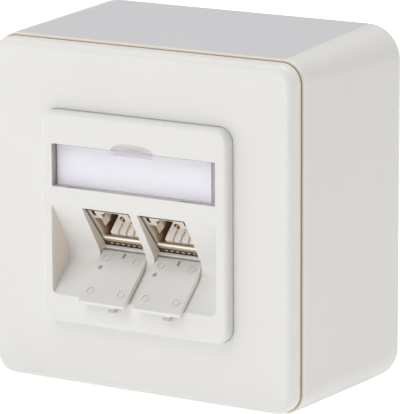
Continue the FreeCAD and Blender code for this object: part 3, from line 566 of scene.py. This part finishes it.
# the edge of the lip is painted bright and given a little glow, as a highlight, and the face under it
# is painted darker brown
under_lip_brown, under_lip_top = (0.92, 0.80, 0.65), plug_middle - 0.0048
lip_highlight_tint = (1.10, 1.12, 1.16)
lip_highlight_glow = 0.30
lip_highlight_low, lip_highlight_high = plug_middle - 0.0043, plug_middle - 0.0040
lip_highlight_end = mouth_out + 0.0003
# the deep holes beside the latch end in the dark
hole_dark = (0.04, 0.03, 0.025)
hole_reach = 0.0045
hole_low = plug_middle + 0.0047
hole_start = mouth_out + 0.00005

for side in ("left", "right"):
    shell_nickel = plated_metal("shell_nickel_" + side, (0.93, 0.87, 0.78), 0.30, 0.44, 900.0,
                                (1, 6, 6), 0.4)
    centre_x = mounts["plug_" + side]["pos_m"][0]
    tint_where(shell_nickel, beyond(shell_nickel, jack_in, inside_shade_start, 0.0003), inside_shade_brown)
    tint_where(shell_nickel, beyond(shell_nickel, jack_in, deep_start, 0.0014), deep_shade_brown)
    tint_where(shell_nickel, beyond(shell_nickel, -jack_up, -under_lip_top, 0.0005), under_lip_brown)
    lip_highlight_mask = both(shell_nickel, beyond(shell_nickel, -jack_up, -lip_highlight_high),
                    beyond(shell_nickel, jack_up, lip_highlight_low, 0.0003),
                    beyond(shell_nickel, -jack_in, -lip_highlight_end, 0.0002))
    tint_where(shell_nickel, lip_highlight_mask, lip_highlight_tint)
    glow_where(shell_nickel, lip_highlight_mask, (1.0, 0.98, 0.94), lip_highlight_glow)
    over_plug = both(shell_nickel, beyond(shell_nickel, jack_in, over_plug_start, 0.0002),
                     beyond(shell_nickel, jack_up, plug_top + 0.0003, 0.0003))
    tint_where(shell_nickel, over_plug, over_plug_shade_brown)
    for way in (1, -1):
        hole = both(shell_nickel,
                    beyond(shell_nickel, (way, 0, 0), way * centre_x + hole_reach),
                    beyond(shell_nickel, jack_up, hole_low),
                    beyond(shell_nickel, jack_in, hole_start, 0.00004))
        tint_where(shell_nickel, hole, hole_dark)
    finish_node("jack_shell_" + side, shell_nickel)
    finish_node("wall_springs_" + side, spring_nickel)


# ---- painted shadow rings ----------------------------------------------------------------------
# A thin dark ring lies between the face of each shell and the ribs of the centre plate. It is a
# painted shadow: a dark sheet put where the gap between them lies in shade. Its edges are rounded
# over.

def shadow_ring_finish(name):
    """Painted shadow: a dark brown sheet with a fine pitted surface."""
    finish, tree, shader, coords = blank_finish(name)
    cells = add_node(tree, "ShaderNodeTexVoronoi", Scale=6000.0)
    bump = add_node(tree, "ShaderNodeBump", Strength=0.5, Distance=0.00005)
    tone = tree.nodes.new("ShaderNodeMix")
    tone.data_type = "RGBA"
    tone.inputs["A"].default_value = (0.080, 0.054, 0.034, 1)
    tone.inputs["B"].default_value = (0.180, 0.128, 0.086, 1)
    tree.links.new(coords.outputs["Object"], cells.inputs["Vector"])
    tree.links.new(cells.outputs["Distance"], bump.inputs["Height"])
    tree.links.new(cells.outputs["Distance"], tone.inputs["Factor"])
    tree.links.new(tone.outputs["Result"], shader.inputs["Base Color"])
    tree.links.new(bump.outputs["Normal"], shader.inputs["Normal"])
    shader.inputs["Roughness"].default_value = 0.95
    return finish


painted_shadow_dark = shadow_ring_finish("painted_shadow_dark")
shell_width = 0.014
shadow_ring_inset = 0.00005
shadow_ring_side_band = 0.00052
shadow_ring_top_band = 0.00010
shadow_ring_front = -0.00024
shadow_ring_back = -0.00004
shadow_ring_corner = 0.0006
shadow_ring_rounding = 0.00008
corner_steps = 6


def ring_points(half_width, low, high, radius):
    """Points round a rectangle with round corners, across and up the jack's face."""
    points = []
    for quarter, (sx, sz) in enumerate(((1, 1), (-1, 1), (-1, -1), (1, -1))):
        centre_x = sx * (half_width - radius)
        centre_z = (high - radius) if sz > 0 else (low + radius)
        for k in range(corner_steps + 1):
            turn = math.pi / 2 * (quarter + k / corner_steps)
            points.append((centre_x + radius * math.cos(turn), centre_z + radius * math.sin(turn)))
    return points


for side in ("left", "right"):
    centre_x = mounts["plug_" + side]["pos_m"][0]
    shell = nodes["jack_shell_" + side].data.vertices
    shadow_ring_low = min(vertex.co.dot(jack_up) for vertex in shell) + shadow_ring_inset
    shadow_ring_high = max(vertex.co.dot(jack_up) for vertex in shell) - shadow_ring_inset
    half = shell_width / 2 - shadow_ring_inset
    outer_ring = ring_points(half, shadow_ring_low, shadow_ring_high, shadow_ring_corner)
    inner_ring = ring_points(half - shadow_ring_side_band, lip_bottom, shadow_ring_high - shadow_ring_top_band,
                             shadow_ring_corner / 4)
    shadow_sheet = bmesh.new()
    loops = []
    for depth, ring in ((shadow_ring_back, outer_ring), (shadow_ring_front, outer_ring),
                        (shadow_ring_front, inner_ring), (shadow_ring_back, inner_ring)):
        loops.append([shadow_sheet.verts.new(Vector((centre_x + across, 0, 0)) + jack_up * up
                                     + jack_in * (mouth_out + depth)) for across, up in ring])
    for k, loop in enumerate(loops):
        after = loops[(k + 1) % len(loops)]
        for i in range(len(loop)):
            j = (i + 1) % len(loop)
            shadow_sheet.faces.new((loop[i], loop[j], after[j], after[i]))
    bmesh.ops.recalc_face_normals(shadow_sheet, faces=shadow_sheet.faces)
    shadow_ring_mesh = bpy.data.meshes.new("painted_shadow_ring_" + side)
    shadow_sheet.to_mesh(shadow_ring_mesh)
    shadow_sheet.free()
    shadow_ring_mesh.materials.append(painted_shadow_dark)
    shadow_ring = bpy.data.objects.new("painted_shadow_ring_" + side, shadow_ring_mesh)
    bpy.context.collection.objects.link(shadow_ring)
    shadow_ring_bevel = shadow_ring.modifiers.new("shadow_ring_bevel", "BEVEL")
    shadow_ring_bevel.width, shadow_ring_bevel.segments = shadow_ring_rounding, 2
    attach(shadow_ring, "housing")


# ---- screen tabs -------------------------------------------------------------------------------
# A row of small tongues stands out of the face of each shell under its opening, through the dark
# ring, to carry the screen across to the plug. They are nickel silver strip, rolled over at the tip.

tab_count = 7
tab_pitch = 0.0015
tab_width = 0.00070
tab_middle = -0.00590
tab_half_height = 0.00036
tab_reach = 0.00026
tab_root = -0.00005
tab_thickness = 0.00010
tab_rounding = 0.00003
tab_roll_steps = 10

for side in ("left", "right"):
    mouth_centre = Vector(mounts["plug_" + side]["pos_m"])
    tongues = bmesh.new()
    for i in range(tab_count):
        across = mouth_centre.x + (i - (tab_count - 1) / 2) * tab_pitch
        # the side outline of a tongue: rolled forward out of the face and back to it
        outer, inner = [], []
        for k in range(tab_roll_steps + 1):
            turn = math.pi * k / tab_roll_steps
            for arc, thinner in ((outer, 0.0), (inner, tab_thickness)):
                arc.append((tab_root - (tab_reach - thinner) * math.sin(turn),
                            tab_middle + (tab_half_height - thinner) * math.cos(turn)))
        outline = outer + inner[::-1]
        walls = []
        for edge in (-tab_width / 2, tab_width / 2):
            walls.append([tongues.verts.new(Vector((across + edge, 0, 0))
                                            + jack_in * (mouth_out + inward)
                                            + jack_up * (plug_middle + up))
                          for inward, up in outline])
        count = len(outline)
        for k in range(count):
            tongues.faces.new((walls[0][k], walls[0][(k + 1) % count],
                               walls[1][(k + 1) % count], walls[1][k]))
        for k in range(tab_roll_steps):
            for wall in walls:
                tongues.faces.new((wall[k], wall[k + 1], wall[count - 2 - k], wall[count - 1 - k]))
    bmesh.ops.recalc_face_normals(tongues, faces=tongues.faces)
    tab_mesh = bpy.data.meshes.new("screen_tabs_" + side)
    tongues.to_mesh(tab_mesh)
    tongues.free()
    tab_mesh.materials.append(spring_nickel)
    tabs = bpy.data.objects.new("screen_tabs_" + side, tab_mesh)
    bpy.context.collection.objects.link(tabs)
    rolled_edge = tabs.modifiers.new("rolled_edge", "BEVEL")
    rolled_edge.width, rolled_edge.segments = tab_rounding, 2
    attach(tabs, "housing")


# ---- contact blocks, contacts and wire blocks --------------------------------------------------
# The insulators that hold the contacts and the wires are moulded in a whiter plastic than the box.
# The eight contacts of each jack are spring wire, bent to shape and plated with gold.

insulator_white = moulded_plastic("insulator_white", (0.96, 0.95, 0.92), 0.40, 0.55, 2600.0, 0.04)
# light soaks through the thin teeth of the comb, and less of it through their sides
tooth_lean = 0.2
tooth_top = (jack_up - jack_in * tooth_lean).normalized()
tooth_light = (1.0, 0.96, 0.89)
tooth_glow = 0.30
tooth_side_shade = (0.86, 0.82, 0.77)
glow_where(insulator_white, along(insulator_white, "Normal", tooth_top, -0.3, 0.97),
           tooth_light, tooth_glow)
for way in (1, -1):
    tint_where(insulator_white, along(insulator_white, "Normal", (way, 0, 0), 0.6, 0.8),
               tooth_side_shade)
contact_gold = plated_metal("contact_gold", (0.93, 0.70, 0.33), 0.15, 0.25, 4000.0)
for side in ("left", "right"):
    finish_node("contact_block_" + side, insulator_white)
    finish_node("wire_block_" + side, insulator_white)
    finish_node("contacts_" + side, contact_gold)


# ---- contact bends -----------------------------------------------------------------------------
# Each gold plated wire is curled up out of its groove before it runs back over the comb, so that the
# plug meets a round bend. Neighbours are curled at two depths.

wire_count = 8
wire_pitch = 0.001016
wire_radius = 0.00028
bend_depths = (0.0052, 0.0045)
bend_radius = 0.00042
bend_middle = -0.00372
bend_sweep = math.pi * 0.92
bend_steps = 9
bend_tail = 0.0009
tail_rise = 0.25
ring_sides = 10

for side in ("left", "right"):
    centre_x = mounts["plug_" + side]["pos_m"][0]
    wires = bmesh.new()
    for i in range(wire_count):
        across = centre_x + (i - (wire_count - 1) / 2) * wire_pitch
        depth = bend_depths[i % 2]
        path = []
        for k in range(bend_steps + 1):
            turn = -math.pi / 2 + bend_sweep * k / bend_steps
            path.append((depth - bend_radius * math.cos(turn),
                         bend_middle + bend_radius * math.sin(turn)))
        path.append((path[-1][0] + bend_tail, path[-1][1] + bend_tail * tail_rise))
        loops = []
        for k, (inward, up) in enumerate(path):
            before, behind = path[max(k - 1, 0)], path[min(k + 1, len(path) - 1)]
            run = (jack_in * (behind[0] - before[0]) + jack_up * (behind[1] - before[1])).normalized()
            lift = run.cross(Vector((1, 0, 0)))
            middle = (Vector((across, 0, 0)) + jack_in * (mouth_out + inward)
                      + jack_up * (plug_middle + up))
            loops.append([wires.verts.new(middle + wire_radius
                                          * (Vector((math.cos(a), 0, 0)) + lift * math.sin(a)))
                          for a in (2 * math.pi * j / ring_sides for j in range(ring_sides))])
        for loop, after in zip(loops, loops[1:]):
            for j in range(ring_sides):
                beside = (j + 1) % ring_sides
                wires.faces.new((loop[j], loop[beside], after[beside], after[j]))
        wires.faces.new(loops[0])
        wires.faces.new(loops[-1])
    bmesh.ops.recalc_face_normals(wires, faces=wires.faces)
    bend_mesh = bpy.data.meshes.new("contact_bends_" + side)
    wires.to_mesh(bend_mesh)
    wires.free()
    for polygon in bend_mesh.polygons:
        polygon.use_smooth = True
    bend_mesh.materials.append(contact_gold)
    bends = bpy.data.objects.new("contact_bends_" + side, bend_mesh)
    bpy.context.collection.objects.link(bends)
    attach(bends, "housing")


# ---- circuit boards ----------------------------------------------------------------------------
# A small glass fibre board stands in each jack and joins the contacts to the wire block. Green
# solder mask covers its copper tracks.

def masked_board(name, mask, copper):
    """Green solder mask over a pattern of straight tracks, a little paler where copper lies."""
    finish, tree, shader, coords = blank_finish(name)
    tracks = add_node(tree, "ShaderNodeTexBrick", Scale=420.0, Mortar_Size=0.03)
    tracks.inputs["Color1"].default_value = (*mask, 1)
    tracks.inputs["Color2"].default_value = (*[c * 0.9 for c in mask], 1)
    tracks.inputs["Mortar"].default_value = (*copper, 1)
    tree.links.new(coords.outputs["Object"], tracks.inputs["Vector"])
    tree.links.new(tracks.outputs["Color"], shader.inputs["Base Color"])
    shader.inputs["Roughness"].default_value = 0.35
    return finish


board_green = masked_board("board_green", (0.03, 0.19, 0.09), (0.07, 0.30, 0.14))
for side in ("left", "right"):
    finish_node("circuit_board_" + side, board_green)


# ---- rear caps, cable clamps, support ring and earth strip -------------------------------------
# The caps are dark grey moulded plastic. The clamps are bent from plated strip, the ring is
# pressed from zinc plated sheet, and the earth strip is rolled brass.

cap_grey = moulded_plastic("cap_grey", (0.07, 0.072, 0.078), 0.45, 0.60, 2200.0, 0.06)
zinc_plate = plated_metal("zinc_plate", (0.74, 0.75, 0.76), 0.30, 0.46, 500.0)
brass_strip = plated_metal("brass_strip", (0.80, 0.64, 0.34), 0.24, 0.36, 700.0, (1, 8, 8))
for side in ("left", "right"):
    finish_node("wire_cap_" + side, cap_grey)
    finish_node("cable_clamp_" + side, zinc_plate)
for node_name in ("support_frame", "support_frame_screws", "hood_screws", "carrier_screws",
                  "centre_plate_screw"):
    finish_node(node_name, zinc_plate)
finish_node("earth_strip", brass_strip)
